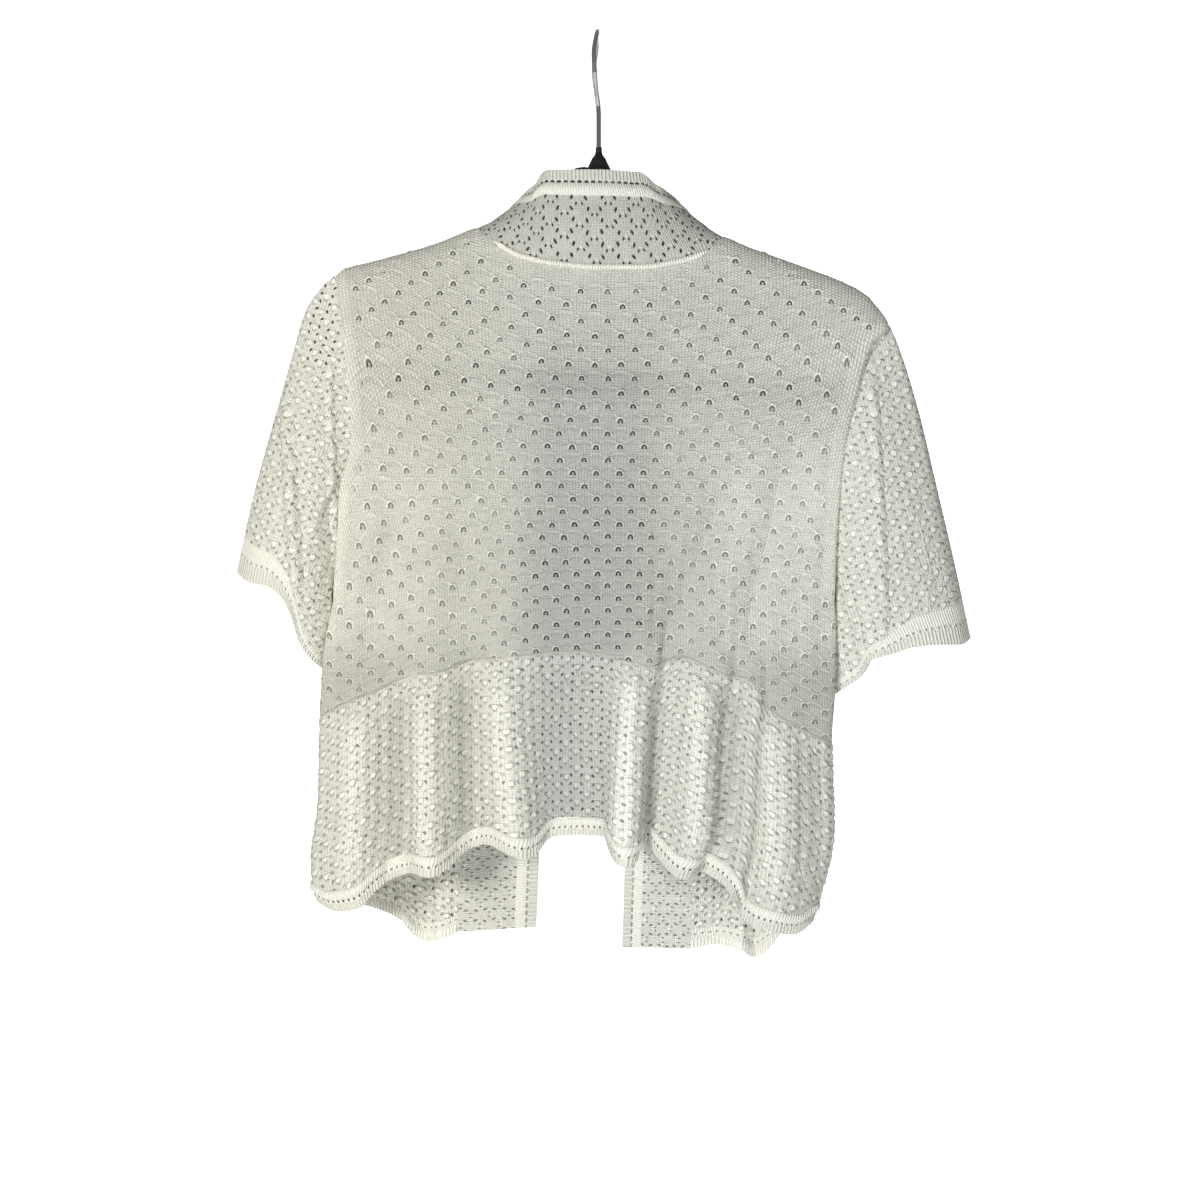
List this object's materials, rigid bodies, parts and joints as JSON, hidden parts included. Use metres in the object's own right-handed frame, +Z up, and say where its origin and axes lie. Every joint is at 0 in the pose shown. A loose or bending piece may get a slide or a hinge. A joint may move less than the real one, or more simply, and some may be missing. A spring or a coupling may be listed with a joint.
{
  "type": "bolero on a clothes hanger",
  "caption": "Short-sleeved open bolero in fine openwork knit with a standing collar band, flared lower panels and ribbed edges, hanging on a tube hanger with a wire hook",
  "frame": {"origin": "the inner top of the hanger's hook, where a rail carries it", "axes": "+Z is up, +X runs to the wearer's right, and +Y faces the open fronts, so the back of the garment faces -Y"},
  "size_m": [0.5872, 0.0883, 0.7482],
  "materials": {
    "cream_knit": "matt fine cotton knit with small eyelets",
    "cream_rib": "matt rolled and ribbed knit edge",
    "black_plastic": "smooth moulded black",
    "chrome": "bright plated wire"
  },
  "bodies": {
    "root": {"back_upper": "cream_knit", "back_lower": "cream_knit", "hem_back": "cream_knit", "front_upper_left": "cream_knit", "front_upper_right": "cream_knit", "front_lower_left": "cream_knit", "front_lower_right": "cream_knit", "hem_front_left": "cream_knit", "hem_front_right": "cream_knit", "sleeve_left": "cream_knit", "sleeve_right": "cream_knit", "cuff_left": "cream_knit", "cuff_right": "cream_knit", "collar_lace": "cream_knit", "collar_rib": "cream_rib", "hanger_body": "black_plastic", "hanger_hook": "chrome"}
  },
  "joints": []
}
